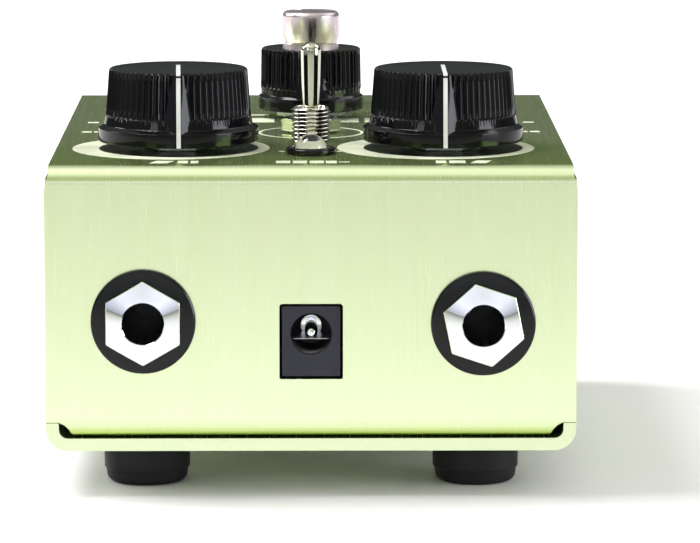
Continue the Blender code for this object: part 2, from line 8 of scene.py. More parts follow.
import bmesh
import bpy
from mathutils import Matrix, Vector


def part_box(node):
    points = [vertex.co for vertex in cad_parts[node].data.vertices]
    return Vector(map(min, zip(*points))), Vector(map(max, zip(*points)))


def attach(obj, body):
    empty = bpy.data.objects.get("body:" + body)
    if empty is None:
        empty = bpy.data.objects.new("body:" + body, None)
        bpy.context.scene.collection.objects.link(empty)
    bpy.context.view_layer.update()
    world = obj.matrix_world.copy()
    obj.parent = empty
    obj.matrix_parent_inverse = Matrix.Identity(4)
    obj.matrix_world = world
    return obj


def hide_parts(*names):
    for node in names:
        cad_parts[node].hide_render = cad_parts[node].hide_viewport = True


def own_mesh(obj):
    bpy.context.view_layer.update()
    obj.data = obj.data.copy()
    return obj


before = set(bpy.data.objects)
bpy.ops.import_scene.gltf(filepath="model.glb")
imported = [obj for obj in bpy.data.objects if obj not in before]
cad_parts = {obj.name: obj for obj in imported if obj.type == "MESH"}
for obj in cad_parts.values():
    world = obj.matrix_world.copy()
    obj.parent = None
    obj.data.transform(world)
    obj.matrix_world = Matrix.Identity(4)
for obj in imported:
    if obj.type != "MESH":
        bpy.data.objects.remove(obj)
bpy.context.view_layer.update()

MM = 0.001
FACING_OUT = (math.pi / 2, 0, 0)


# ---- places, read from the frame ----

def corners(node):
    """Return a CAD node's lowest and highest corner in millimetres."""
    low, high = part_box(node)
    return low / MM, high / MM


def centre(node):
    """Return the middle of a CAD node's box in millimetres."""
    low, high = corners(node)
    return (low + high) / 2


COVER_LOW, COVER_HIGH = corners("cover_shell")
FACE_Y = COVER_LOW.y
FAR_Y = COVER_HIGH.y
TOP_Z = COVER_HIGH.z
LIP_Z = COVER_LOW.z
HALF_WIDTH = COVER_HIGH.x
TRAY_Z = corners("base_tray")[0].z
PROUD = FACE_Y - corners("input_socket_nut")[0].y

# Sizes of the folded case, in millimetres
SHEET = 2.0
SEAM = 0.2
TOP_BEND = 2.8
LIP_BEND = 1.0
LIP_LENGTH = 10.5
TRAY_CORNER = 3.4
PANEL_INSET = 0.6
SHOULDER_HEIGHT = 4.4
SHOULDER_GAP = 0.06
POWER_GAP = 0.38
CORNER_CUT = 2.15
EDGE = 0.14
SCREW_HOLE = 1.75
JACK_HOLE = 4.3
MARGIN = 1.0
CORNERS = ("near_left", "near_right", "far_left", "far_right")


def on_panel(node, height=0.0):
    """Return the place on the top panel at a control's axis."""
    middle = centre(node)
    return Vector((middle.x, middle.y, TOP_Z + height))


def on_face(node):
    """Return the place on the socket face at a socket's axis."""
    middle = centre(node)
    return Vector((middle.x, FACE_Y, middle.z))


def on_floor(node):
    """Return the place on the floor below a node's middle."""
    middle = centre(node)
    return Vector((middle.x, middle.y, 0))


# ---- mesh helpers ----

def add_object(name, bm, look=None, place=(0, 0, 0), rotation=(0, 0, 0)):
    """Turn a bmesh in millimetres into a placed object in metres."""
    bmesh.ops.recalc_face_normals(bm, faces=bm.faces)
    bmesh.ops.scale(bm, vec=(MM, MM, MM), verts=bm.verts)
    mesh = bpy.data.meshes.new(name)
    bm.to_mesh(mesh)
    bm.free()
    if look:
        mesh.materials.append(look)
    made = bpy.data.objects.new(name, mesh)
    made.location = Vector(place) * MM
    made.rotation_euler = rotation
    bpy.context.scene.collection.objects.link(made)
    return made


def smooth(made, angle):
    """Shade a mesh smooth, except across edges sharper than the angle in degrees."""
    made.data.shade_smooth()
    made.data.set_sharp_from_angle(angle=math.radians(angle))


def settle(made):
    """Replace an object's mesh with the one its modifiers give."""
    bpy.context.view_layer.update()
    graph = bpy.context.evaluated_depsgraph_get()
    mesh = bpy.data.meshes.new_from_object(made.evaluated_get(graph))
    made.modifiers.clear()
    made.data = mesh


def shape(made, tools, operation="DIFFERENCE"):
    """Cut the tools' shapes, in the object's own millimetres, out of it, or fuse them to it."""
    cutters = []
    for bm in tools:
        tool = add_object("tool", bm, None, made.location / MM, made.rotation_euler)
        change = made.modifiers.new("shape", "BOOLEAN")
        change.object = tool
        change.operation = operation
        change.solver = "EXACT"
        cutters.append(tool)
    settle(made)
    for tool in cutters:
        bpy.data.objects.remove(tool, do_unlink=True)


def ease(made, width, segments, angle=40):
    """Round an object's sharp edges to a width in millimetres, and keep its flat faces flat."""
    bevel = made.modifiers.new("ease", "BEVEL")
    bevel.width = width * MM
    bevel.segments = segments
    bevel.limit_method = "ANGLE"
    bevel.angle_limit = math.radians(angle)
    settle(made)
    smooth(made, angle)
    flatten = made.modifiers.new("flatten", "WEIGHTED_NORMAL")
    flatten.keep_sharp = True
    flatten.weight = 100
    settle(made)


def add_piece(name, bm, look, stands_for, place=(0, 0, 0), sharp=35, body="case", rotation=(0, 0, 0),
              cuts=(), joined=(), bevel=None):
    """Add a finished piece to its CAD body, in place of the CAD nodes it stands for.

    Edges sharper than the angle in degrees stay sharp, and 0 leaves every face flat.
    """
    made = add_object(name, bm, LOOKS[look], place, rotation)
    if cuts:
        shape(made, cuts)
    if joined:
        shape(made, joined, "UNION")
    if bevel:
        ease(made, *bevel)
    elif sharp:
        smooth(made, sharp)
    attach(made, body)
    if stands_for:
        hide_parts(*stands_for)
    return made


def arc(middle, radius, start, end, steps=8):
    """Return points on an arc, in degrees, both ends included."""
    points = []
    for step in range(steps + 1):
        angle = math.radians(start + (end - start) * step / steps)
        points.append((middle[0] + radius * math.cos(angle), middle[1] + radius * math.sin(angle)))
    return points


def rounded(points, steps=4):
    """Return an outline with an arc at each point whose third value is a radius."""
    made = []
    for i, point in enumerate(points):
        if len(point) < 3:
            made.append(point)
            continue
        here = Vector(point[:2])
        before = (Vector(points[i - 1][:2]) - here).normalized()
        after = (Vector(points[(i + 1) % len(points)][:2]) - here).normalized()
        half = before.angle(after) / 2
        middle = here + (before + after).normalized() * point[2] / math.sin(half)
        first = here + before * point[2] / math.tan(half) - middle
        sign = 1 if before.x * after.y < before.y * after.x else -1
        start = math.degrees(math.atan2(first.y, first.x))
        made += arc(middle, point[2], start, start + sign * (180 - math.degrees(2 * half)), steps)
    return made


def join_rings(bm, lower, upper):
    """Join two rings of a turned mesh, either of which may be one point on the axis."""
    count = max(len(lower), len(upper))
    for i in range(count):
        j = (i + 1) % count
        if len(lower) == 1:
            bm.faces.new((lower[0], upper[j], upper[i]))
        elif len(upper) == 1:
            bm.faces.new((lower[i], lower[j], upper[0]))
        else:
            bm.faces.new((lower[i], lower[j], upper[j], upper[i]))


def turned(profile, segments=64, phase=0.0):
    """Return a bmesh turned about Z from (radius, height) points.

    A profile that starts and ends on the axis is a solid, and any other is a closed ring.
    A radius or a height may be a function of the angle.
    """
    bm = bmesh.new()
    rings = []
    for radius, height in profile:
        if not callable(radius) and radius == 0:
            rings.append([bm.verts.new((0, 0, height))])
            continue
        ring = []
        for step in range(segments):
            angle = 2 * math.pi * step / segments
            reach = radius(angle) if callable(radius) else radius
            level = height(angle) if callable(height) else height
            turn = angle + phase
            ring.append(bm.verts.new((reach * math.cos(turn), reach * math.sin(turn), level)))
        rings.append(ring)
    pairs = list(zip(rings, rings[1:]))
    if len(rings[0]) > 1:
        pairs.append((rings[-1], rings[0]))
    for lower, upper in pairs:
        join_rings(bm, lower, upper)
    return bm


def prism(outline, axis, low, high):
    """Return a bmesh of a flat outline drawn out along X, Y or Z."""
    def corner(point, along):
        u, v = point
        return {"X": (along, u, v), "Y": (u, along, v), "Z": (u, v, along)}[axis]

    bm = bmesh.new()
    near = [bm.verts.new(corner(point, low)) for point in outline]
    far = [bm.verts.new(corner(point, high)) for point in outline]
    bm.faces.new(near)
    bm.faces.new(list(reversed(far)))
    for i in range(len(outline)):
        j = (i + 1) % len(outline)
        bm.faces.new((near[i], far[i], far[j], near[j]))
    return bm


def block(low, high):
    """Return a bmesh box between two corners."""
    outline = [(low[0], low[1]), (high[0], low[1]), (high[0], high[1]), (low[0], high[1])]
    return prism(outline, "Z", low[2], high[2])


def moved(bm, place):
    """Move a bmesh, and return it."""
    bmesh.ops.translate(bm, verts=bm.verts, vec=place)
    return bm


def drill(radius, low, high, place=(0, 0, 0), segments=96):
    """Return an upright round cutter at a place's X and Y."""
    bm = turned([(0, low), (radius, low), (radius, high), (0, high)], segments)
    return moved(bm, (place[0], place[1], 0))


def merge(target, *others):
    """Copy other bmeshes into the target, and return it."""
    for other in others:
        mesh = bpy.data.meshes.new("part")
        other.to_mesh(mesh)
        other.free()
        target.from_mesh(mesh)
        bpy.data.meshes.remove(mesh)
    return target


def hexagon(across_flats, corner):
    """Return a function that gives the radius of a hexagon with eased corners at an angle."""
    half = across_flats / 2
    tip = half / math.cos(math.pi / 6) - corner

    def radius(angle):
        from_flat = (angle % (math.pi / 3)) - math.pi / 6
        return min(half / math.cos(from_flat), tip)
    return radius


# ---- materials ----

def new_look(name, colour, roughness, metallic=0.0):
    """Return a new Principled material and its shader."""
    look = bpy.data.materials.new(name)
    look.use_nodes = True
    shader = look.node_tree.nodes["Principled BSDF"]
    shader.inputs["Base Color"].default_value = (*colour, 1.0)
    shader.inputs["Roughness"].default_value = roughness
    shader.inputs["Metallic"].default_value = metallic
    return look, shader


def node(owner, kind, **values):
    """Add a node to a material or a world, and set its properties or its inputs by name."""
    made = owner.node_tree.nodes.new("ShaderNode" + kind)
    for name, value in values.items():
        if hasattr(made, name):
            setattr(made, name, value)
        else:
            made.inputs[name.replace("_", " ")].default_value = value
    return made


def wire(owner, source, target, output=0):
    """Link a node's output, by number or by name, to an input socket."""
    owner.node_tree.links.new(source.outputs[output], target)


def split_place(owner, kind):
    """Return a node that splits texture coordinates of a kind into X, Y and Z."""
    split = node(owner, "SeparateXYZ")
    wire(owner, node(owner, "TexCoord"), split.inputs["Vector"], kind)
    return split


def noise(look, scale, stretch=(1, 1, 1), detail=3.0):
    """Return a noise node in object space, stretched along the axes with small factors."""
    mapping = node(look, "Mapping", Scale=stretch)
    wire(look, node(look, "TexCoord"), mapping.inputs["Vector"], "Object")
    made = node(look, "TexNoise", Scale=scale, Detail=detail, Roughness=0.6)
    wire(look, mapping, made.inputs["Vector"])
    return made


def spread(owner, source, low, high, inside=(0.3, 0.7), output=0):
    """Return a node that maps a node's output, usually a noise, onto a range of values."""
    made = node(owner, "MapRange", From_Min=inside[0], From_Max=inside[1], To_Min=low, To_Max=high)
    wire(owner, source, made.inputs["Value"], output)
    return made


def ramp(owner, source, stops, output=0):
    """Return a colour ramp over a node's output, from (value, colour) stops."""
    made = node(owner, "ValToRGB")
    elements = made.color_ramp.elements
    while len(elements) < len(stops):
        elements.new(0.5)
    for element, (value, colour) in zip(elements, stops):
        element.position = value
        element.color = (*colour, 1)
    wire(owner, source, made.inputs["Fac"], output)
    return made


def place_ramp(look, axis, stops):
    """Return a colour ramp along an object axis, from (millimetres, colour) stops."""
    low, high = stops[0][0], stops[-1][0]
    share = spread(look, split_place(look, "Object"), 0.0, 1.0, (low * MM, high * MM), axis)
    return ramp(look, share, [((place - low) / (high - low), colour) for place, colour in stops])


def blend(owner, kind, first, second, factor=None):
    """Return the blend of two colour sockets, in full or by a factor's socket."""
    mix = node(owner, "Mix", data_type="RGBA", blend_type=kind)
    mix.inputs[0].default_value = 1.0
    if factor:
        owner.node_tree.links.new(factor, mix.inputs[0])
    owner.node_tree.links.new(first, mix.inputs[6])
    owner.node_tree.links.new(second, mix.inputs[7])
    return mix.outputs[2]


def tint(look, source, shader, dark, light, inside=(0.35, 0.65)):
    """Colour the shader between two shades by a node's output."""
    wire(look, ramp(look, source, list(zip(inside, (dark, light)))), shader.inputs["Base Color"])


def bump(look, source, shader, depth):
    """Give the surface relief of a depth in millimetres from a noise."""
    made = node(look, "Bump", Strength=1.0, Distance=depth * MM)
    wire(look, source, made.inputs["Height"])
    wire(look, made, shader.inputs["Normal"])


def shaded(colour, factor):
    """Return a colour made darker or lighter by a factor."""
    return tuple(value * factor for value in colour)


LIME_DARK = (0.785, 0.875, 0.575)
LIME_LIGHT = (0.80, 0.89, 0.595)
LIME_GRAZING = (0.56, 0.70, 0.38)
PLAIN = (1, 1, 1)
# Painted shade: the cover's lime is multiplied darker and deeper green low on the flaps, towards the lips,
# where the gap above the tray lies in shade.
LIP_PAINTED_SHADE = ((LIP_Z, (0.42, 0.52, 0.12)), (LIP_Z + 0.7, (0.60, 0.68, 0.30)),
              (LIP_Z + 1.5, (0.88, 0.93, 0.76)), (LIP_Z + 2.6, PLAIN))
# Painted shade: a darker, deeper green along the top panel's near edge, fading out towards the back; the
# sheet itself is one even lime.
EDGE_PAINTED_SHADE = ((FACE_Y + 2.0, PLAIN), (FACE_Y + 3.2, (0.84, 0.95, 0.55)),
               (FACE_Y + 14.0, (0.90, 0.98, 0.72)), (FACE_Y + 45.0, PLAIN))


def cover_lime_painted_shade():
    """Return the cover's brushed lime with painted shade: deeper and darker towards the lips and along the
    top panel's near edge.
    """
    look = brushed_lime("lime_brushed_cover_painted_shade", (1, 0.014, 0.014))
    target = look.node_tree.nodes["Principled BSDF"].inputs["Base Color"]
    colour = target.links[0].from_socket
    for axis, stops in (("Z", LIP_PAINTED_SHADE), ("Y", EDGE_PAINTED_SHADE)):
        colour = blend(look, "MULTIPLY", colour, place_ramp(look, axis, stops).outputs[0])
    look.node_tree.links.new(colour, target)
    return look


def brushed_lime(name, stretch, shade=1.0):
    """Return lime anodised aluminium, brushed along the axes with small stretch factors."""
    look, shader = new_look(name, LIME_LIGHT, 0.25, 0.95)
    shader.inputs["Specular Tint"].default_value = (*LIME_GRAZING, 1)
    fine = noise(look, 5200, stretch, 4.0)
    broad = noise(look, 900, stretch, 3.0)
    tint(look, broad, shader, shaded(LIME_DARK, shade), shaded(LIME_LIGHT, shade))
    wire(look, spread(look, fine, 0.23, 0.28), shader.inputs["Roughness"])
    bump(look, fine, shader, 0.0006)
    return look


def plastic(name, colour, roughness, relief=0.002, scale=2600, shine=0.5):
    """Return moulded plastic with a faint texture."""
    look, shader = new_look(name, colour, roughness)
    shader.inputs["Specular IOR Level"].default_value = shine
    grain = noise(look, scale)
    haze = noise(look, 160, detail=2.0)
    tint(look, haze, shader, shaded(colour, 0.85), shaded(colour, 1.1))
    wire(look, spread(look, haze, roughness * 0.8, roughness * 1.3), shader.inputs["Roughness"])
    bump(look, grain, shader, relief)
    return look


def metal(name, colour, roughness, stretch=(1, 1, 1), scale=1800, relief=0.0006):
    """Return plated or turned metal with fine wear in its roughness."""
    look, shader = new_look(name, colour, roughness, 1.0)
    wear = noise(look, scale, stretch)
    cloud = noise(look, 240, detail=2.0)
    tint(look, cloud, shader, shaded(colour, 0.93), colour)
    wire(look, spread(look, wear, roughness * 0.7, roughness * 1.4), shader.inputs["Roughness"])
    bump(look, wear, shader, relief)
    return look


def painted_thread_shade_metal(name, colour, shade, roughness):
    """Return plated metal with painted shade where it faces down, standing in for the shade under a
    thread's flanks.
    """
    look, shader = new_look(name, colour, roughness, 1.0)
    # Painted shade: the colour turns dark on faces that point down.
    facing_up = spread(look, split_place(look, "Normal"), 0.0, 1.0, (-0.5, 0.1), "Z")
    tint(look, facing_up, shader, shade, colour, (0.1, 0.9))
    wear = noise(look, 1800)
    wire(look, spread(look, wear, roughness * 0.7, roughness * 1.4), shader.inputs["Roughness"])
    return look


def clear_lens():
    """Return the lamp's clear epoxy."""
    look, shader = new_look("clear_lens", (0.97, 0.98, 0.99), 0.03)
    shader.inputs["Transmission Weight"].default_value = 1.0
    shader.inputs["IOR"].default_value = 1.53
    swirl = noise(look, 300, detail=1.0)
    wire(look, spread(look, swirl, 0.01, 0.06), shader.inputs["Roughness"])
    return look


ROUND_WEAR = (1, 1, 0.05)
LOOKS = {
    # The cover's look carries painted shade towards the lips and along the top panel's near edge.
    "cover": cover_lime_painted_shade(),
    "tray": brushed_lime("lime_brushed_tray", (1, 0.014, 1), 0.9),
    "knob": plastic("knob_plastic", (0.003, 0.003, 0.004), 0.09, 0.0006, shine=0.24),
    "black": plastic("black_plastic", (0.005, 0.005, 0.006), 0.16, 0.001, shine=0.28),
    "slate": plastic("slate_plastic", (0.022, 0.022, 0.034), 0.42, 0.003, 1800, 0.35),
    "rubber": plastic("foot_rubber", (0.009, 0.009, 0.010), 0.55, 0.006, 1500, 0.25),
    "white": plastic("pointer_white", (0.76, 0.76, 0.78), 0.35, 0.001),
    "ink": plastic("panel_ink", (0.70, 0.73, 0.57), 0.5, 0.001, shine=0.2),
    # The dark discs under the big knobs: painted reflection and shade of the knobs on the panel, not print.
    "shade": plastic("painted_knob_reflection", (0.022, 0.026, 0.016), 0.3, 0.001, shine=0.2),
    "cup": plastic("lamp_cup", (0.95, 0.98, 0.74), 0.3, 0.001),
    "chrome": metal("chrome", (0.90, 0.91, 0.95), 0.045),
    "nickel": metal("nickel", (0.80, 0.77, 0.73), 0.09, ROUND_WEAR),
    "satin": metal("satin_nickel", (0.62, 0.54, 0.58), 0.32, ROUND_WEAR),
    "lever": metal("lever_nickel", (0.60, 0.615, 0.50), 0.06, ROUND_WEAR),
    # The thread's nickel carries painted shade on its downward faces.
    "thread": painted_thread_shade_metal("threaded_nickel_painted_shade", (0.93, 0.86, 0.82), (0.03, 0.025, 0.022), 0.12),
    "steel": metal("steel", (0.56, 0.56, 0.57), 0.32),
    "brass": metal("contact_brass", (0.80, 0.62, 0.30), 0.25),
    "lens": clear_lens(),
    "board": plastic("circuit_board", (0.010, 0.075, 0.030), 0.38, 0.01, 900),
}


# ---- case ----

def flap(face, inward):
    """Return one folded end in the YZ plane, from its lip's tip up its outer side."""
    tip = face + inward * LIP_LENGTH
    angles = (270, 180) if inward > 0 else (270, 360)
    outer = arc((face + inward * LIP_BEND, LIP_Z + LIP_BEND), LIP_BEND, *angles, 14)
    return [(tip, LIP_Z)] + outer


def cover_section():
    """Return the cover's folded section: outer line, then inner line."""
    near_mid = (FACE_Y + TOP_BEND, TOP_Z - TOP_BEND)
    far_mid = (FAR_Y - TOP_BEND, TOP_Z - TOP_BEND)
    outer = flap(FACE_Y, 1) + arc(near_mid, TOP_BEND, 180, 90, 20) + arc(far_mid, TOP_BEND, 90, 0, 20)
    outer += list(reversed(flap(FAR_Y, -1)))
    inner = TOP_BEND - SHEET
    lip_top = LIP_Z + SHEET
    inside = [(FAR_Y - LIP_LENGTH, lip_top), (FAR_Y - SHEET, lip_top)]
    inside += arc(far_mid, inner, 0, 90, 6) + arc(near_mid, inner, 90, 180, 6)
    inside += [(FACE_Y + SHEET, lip_top), (FACE_Y + LIP_LENGTH, lip_top)]
    return outer + inside


def side_cutter(sign, outline):
    """Return a cutter along the case from an outline in the XZ plane, mirrored by the sign."""
    return prism([(sign * x, z) for x, z in outline], "Y", FACE_Y - MARGIN, FAR_Y + MARGIN)


def relief_outline():
    """Return the outline of the cut that narrows the top panel and its bends on one side."""
    inner = HALF_WIDTH - PANEL_INSET
    outer = HALF_WIDTH + MARGIN
    low = TOP_Z - TOP_BEND - 0.8
    return [(inner, TOP_Z - 1.4), (HALF_WIDTH + 0.01, low), (outer, low),
            (outer, TOP_Z + MARGIN), (inner, TOP_Z + MARGIN)]


def shoulder_outline():
    """Return the outline of the cut that leaves room for the tray's corner beside a lip."""
    wall = HALF_WIDTH - SHEET
    outer = HALF_WIDTH + MARGIN
    shoulder = TRAY_Z + SHOULDER_HEIGHT + SHOULDER_GAP
    return [(outer, shoulder), (wall, shoulder), (wall - 0.9, shoulder - 0.45),
            (wall - 1.65, shoulder - 1.2), (wall - CORNER_CUT, shoulder - CORNER_CUT),
            (wall - CORNER_CUT, LIP_Z - 2 * MARGIN), (outer, LIP_Z - 2 * MARGIN)]


def panel_holes():
    """Return the cutters of the top panel's round holes."""
    holes = (("input_shaft", 3.8), ("output_shaft", 3.8), ("tone_shaft", 3.8), ("toggle_bushing", 3.35),
             ("trimmer_nut", 3.3), ("led_bezel", 3.4), ("footswitch_washer", 6.3))
    low, high = TOP_Z - SHEET - MARGIN, TOP_Z + MARGIN
    return [drill(radius, low, high, centre(name)) for name, radius in holes]


def face_holes():
    """Return the cutters of the two jack holes and the power socket's window."""
    cutters = []
    for name in ("input_socket_washer", "output_socket_washer"):
        bm = drill(JACK_HOLE, -SHEET - MARGIN, MARGIN, segments=64)
        bmesh.ops.rotate(bm, verts=bm.verts, matrix=Matrix.Rotation(math.pi / 2, 3, "X"))
        cutters.append(moved(bm, on_face(name)))
    low, high = corners("power_socket_body")
    left, right = low.x - POWER_GAP, high.x + POWER_GAP
    bottom, top = low.z - POWER_GAP, high.z + POWER_GAP
    window = [(left, bottom, 0.25), (right, bottom, 0.25), (right, top, 0.5), (left, top, 0.5)]
    cutters.append(prism(rounded(window), "Y", FACE_Y - MARGIN, FACE_Y + SHEET + 0.5))
    return cutters


def add_cover():
    """Add the folded cover: top panel, two end flaps and their in-turned lips."""
    sides = (relief_outline(), shoulder_outline())
    cuts = [side_cutter(sign, outline) for outline in sides for sign in (-1, 1)]
    cuts += panel_holes() + face_holes()
    for name in CORNERS:
        cuts.append(drill(SCREW_HOLE, LIP_Z - MARGIN, LIP_Z + 4, centre("base_screw_" + name), 32))
    section = prism(cover_section(), "X", -HALF_WIDTH, HALF_WIDTH)
    add_piece("cover", section, "cover", ["cover_shell"], cuts=cuts, bevel=(EDGE, 2))


def tray_section():
    """Return the base tray's U section in the XZ plane."""
    wall_top = TOP_Z - SHEET - SEAM
    corner = TRAY_Z + TRAY_CORNER
    inner = TRAY_CORNER - SHEET
    right = HALF_WIDTH - TRAY_CORNER
    outside = [(-HALF_WIDTH, wall_top)] + arc((-right, corner), TRAY_CORNER, 180, 270, 14)
    outside += arc((right, corner), TRAY_CORNER, 270, 360, 14) + [(HALF_WIDTH, wall_top)]
    inside = [(HALF_WIDTH - SHEET, wall_top)] + arc((right, corner), inner, 360, 270, 8)
    inside += arc((-right, corner), inner, 270, 180, 8) + [(SHEET - HALF_WIDTH, wall_top)]
    return outside + inside


def wall_cutter(low_y, high_y):
    """Return the cutter that ends the tray's side walls above their shoulders."""
    outer = HALF_WIDTH + MARGIN
    return block((-outer, low_y, TRAY_Z + SHOULDER_HEIGHT), (outer, high_y, TOP_Z))


def add_tray():
    """Add the base tray, whose walls stop short behind the cover's flaps."""
    stop = SHEET + 0.3
    cuts = [wall_cutter(FACE_Y - MARGIN, FACE_Y + stop), wall_cutter(FAR_Y - stop, FAR_Y + MARGIN)]
    low, high = TRAY_Z - MARGIN, TRAY_Z + SHEET + MARGIN
    sunk = [(0, low), (2.95, low), (2.95, TRAY_Z + 0.3), (SCREW_HOLE, TRAY_Z + 1.5),
            (SCREW_HOLE, high), (0, high)]
    for name in CORNERS:
        cuts.append(drill(SCREW_HOLE, low, high, centre("foot_screw_" + name), 32))
        cuts.append(moved(turned(sunk, 48), on_floor("base_screw_" + name)))
    section = prism(tray_section(), "Y", FACE_Y, FAR_Y)
    add_piece("tray", section, "tray", ["base_tray"], cuts=cuts, bevel=(EDGE, 2))


def cross_slot(radius, depth, top):
    """Return the cutters of a cross recess in a downward-facing screw head."""
    width = radius * 0.26
    reach = radius * 0.62
    sides = ((reach, width), (width, reach))
    return [block((-x, -y, top - MARGIN), (x, y, top + depth)) for x, y in sides]


def add_feet():
    """Add the rubber feet and their screws, and the screws that hold the tray to the lips."""
    top = TRAY_Z - SEAM
    foot = rounded([(SCREW_HOLE, top), (6.8, top, 0.25), (6.72, 2.35, 0.1), (6.5, 2.2, 0.08), (6.2, 0, 1.3),
                    (3.7, 0, 0.3), (3.6, 4.4, 0.3), (SCREW_HOLE, 4.4)], 6)
    shank, end, face = 1.5, 12.4, 1.9
    screw = rounded([(0, face), (2.4, face, 0.5), (3.0, 2.5, 0.15), (3.0, 4.1, 0.1), (shank, 4.1),
                     (shank, end), (0, end)])
    head = corners("base_screw_near_left")[0].z
    long_screw = rounded([(0, head), (2.75, head, 0.08), (2.75, head + 0.2), (shank, head + 1.4),
                          (shank, LIP_Z + 3.4), (0, LIP_Z + 3.4)])
    for name in CORNERS:
        place = on_floor("foot_" + name)
        add_piece("rubber_foot_" + name, turned(foot, 96), "rubber", ["foot_" + name], place)
        add_piece("foot_fixing_" + name, turned(screw, 48), "steel", ["foot_screw_" + name], place,
                  cuts=cross_slot(3.0, 1.1, face))
        add_piece("tray_fixing_" + name, turned(long_screw, 48), "steel", ["base_screw_" + name],
                  on_floor("base_screw_" + name), cuts=cross_slot(2.75, 0.9, head))


# ---- knobs ----

BIG_KNOB = {
    "rim": 12.7, "rim_low": 1.3, "rim_high": 3.45, "neck": 11.75, "waist": 11.5, "waist_height": 5.4,
    "crown": 10.98, "crown_height": 12.5, "flat": 10.5, "height": 12.85, "hollow": 8.2, "flutes": 66,
    "fin_top": 0.95, "fin_waist": 2.2, "fin_foot": 2.7, "fin_reach": 13.0, "line_back": 3.9,
}
SMALL_KNOB = {
    "rim": 8.8, "rim_low": 1.4, "rim_high": 3.6, "neck": 8.35, "waist": 8.45, "waist_height": 5.1,
    "crown": 8.35, "crown_height": 11.4, "flat": 7.9, "height": 11.75, "hollow": 6.6, "flutes": 50,
    "fin_top": 1.0, "fin_waist": 3.3, "fin_foot": 5.0, "fin_reach": 9.1, "line_back": 2.9,
}
NECK_HEIGHT = 4.0
HOLLOW_TOP = 4.9
SHAFT_HOLE = 3.15
FLUTE_DEPTH = 0.42
FLUTE_STEPS = 12
LINE_HALF = 0.33
FIN_FRONT = 0.42
INPUT_AIM = math.radians(1.7)
OUTPUT_NUT_TURN = math.radians(11.6)


def ridge_reach(size, height):
    """Return how far the pointer fin's ridge stands out at a height."""
    top = size["crown"] + 0.28
    share = (size["crown_height"] - height) / (size["crown_height"] - size["rim_low"])
    return top + (size["fin_reach"] - top) * share


def body_radius(size, height):
    """Return the fluted body's outer radius at a height between the neck and the crown."""
    share = (height - size["waist_height"]) / (size["crown_height"] - size["waist_height"])
    return size["waist"] + (size["crown"] - size["waist"]) * share


def fluted(size, radius, depth):
    """Return a radius function with scallops of a depth cut into a radius."""
    def reach(angle):
        across = abs(2 * ((angle * size["flutes"] / (2 * math.pi)) % 1.0) - 1)
        return radius - depth * max(0.0, 1 - (across / 0.92) ** 2)
    return reach


def knob_rings(size):
    """Return the knob's section from the middle of its top, over its side, to its hollow."""
    height, crown_height, shoulder = size["height"], size["crown_height"], size["waist_height"]
    flat, waist, rim = size["flat"], size["waist"], size["rim"]
    low, high = size["rim_low"], size["rim_high"]
    rings = [(0, height), (flat * 0.6, height), (flat, height - 0.02)]
    edge = ((0.35, 0.12, 0.0), (0.62, 0.32, 0.3), (0.88, 0.7, 0.75))
    for out, down, cut in edge:
        radius = flat + (size["crown"] - flat) * out
        level = height - (height - crown_height) * down
        rings.append((fluted(size, radius, FLUTE_DEPTH * cut), level))
    steps = 6
    base = shoulder + 0.25
    for step in range(steps + 1):
        level = crown_height + (base - crown_height) * step / steps
        rings.append((fluted(size, body_radius(size, level), FLUTE_DEPTH), level))
    rings.append((fluted(size, waist, FLUTE_DEPTH * 0.45), shoulder + 0.08))
    rings.append((waist + 0.01, shoulder - 0.05))
    side = rounded([(waist + 0.01, shoulder - 0.1), (size["neck"], NECK_HEIGHT, 0.2),
                    (rim, high, 0.07), (rim, low, 0.2), (size["hollow"], low),
                    (size["hollow"], HOLLOW_TOP)], 5)
    rings += side[1:]
    return rings + [(SHAFT_HOLE, HOLLOW_TOP), (SHAFT_HOLE, height - 2), (0, height - 2)]


def close_ends(bm, rings):
    """Join a list of rings into a tube with closed ends, and return its bmesh."""
    for lower, upper in zip(rings, rings[1:]):
        join_rings(bm, lower, upper)
    bm.faces.new(rings[0])
    bm.faces.new(rings[-1])
    return bm


def fin(size):
    """Return the pointer fin down the knob's -Y side, with flanks that run out into the body."""
    low, high, waist = size["rim_low"], size["rim_high"], size["waist_height"]
    levels = [low + 0.05, (low + high) / 2, high, NECK_HEIGHT, waist]
    steps = 5
    for step in range(1, steps + 1):
        levels.append(waist + (size["crown_height"] - waist) * step / steps)
    crest = ridge_reach(size, size["crown_height"])
    ridge = [(level, ridge_reach(size, level)) for level in levels]
    ridge += [(size["height"] - 0.12, crest - 0.1), (size["height"] - 0.01, crest - 0.35)]
    bm = bmesh.new()
    return close_ends(bm, [fin_ring(bm, size, level, reach) for level, reach in ridge])


def fin_ring(bm, size, level, reach):
    """Return one level of the fin: flat front, hollow flanks and a root inside the body."""
    waist, crown = size["waist_height"], size["crown_height"]
    if level >= waist:
        share = min(1.0, (level - waist) / (crown - waist))
        width = size["fin_waist"] + (size["fin_top"] - size["fin_waist"]) * share
    else:
        share = (waist - level) / (waist - size["rim_low"])
        width = size["fin_waist"] + (size["fin_foot"] - size["fin_waist"]) * share ** 0.6
    steps = 5
    flank = []
    for step in range(steps + 1):
        share = step / steps
        x = FIN_FRONT + (width - FIN_FRONT) * share
        settled = min(reach, body_radius(size, max(level, NECK_HEIGHT))) - 0.12
        base = math.sqrt(max(settled ** 2 - x ** 2, 0.1))
        front = math.sqrt(max(settled ** 2 - FIN_FRONT ** 2, 0.1))
        flank.append((x, base + (reach - front) * (1 - share) ** 1.5))
    root = (width, min(flank[-1][1] - 0.8, size["hollow"] + 2.2))
    outline = [root] + list(reversed(flank))
    outline += [(-x, y) for x, y in flank] + [(-root[0], root[1])]
    return [bm.verts.new((x, -y, level)) for x, y in outline]


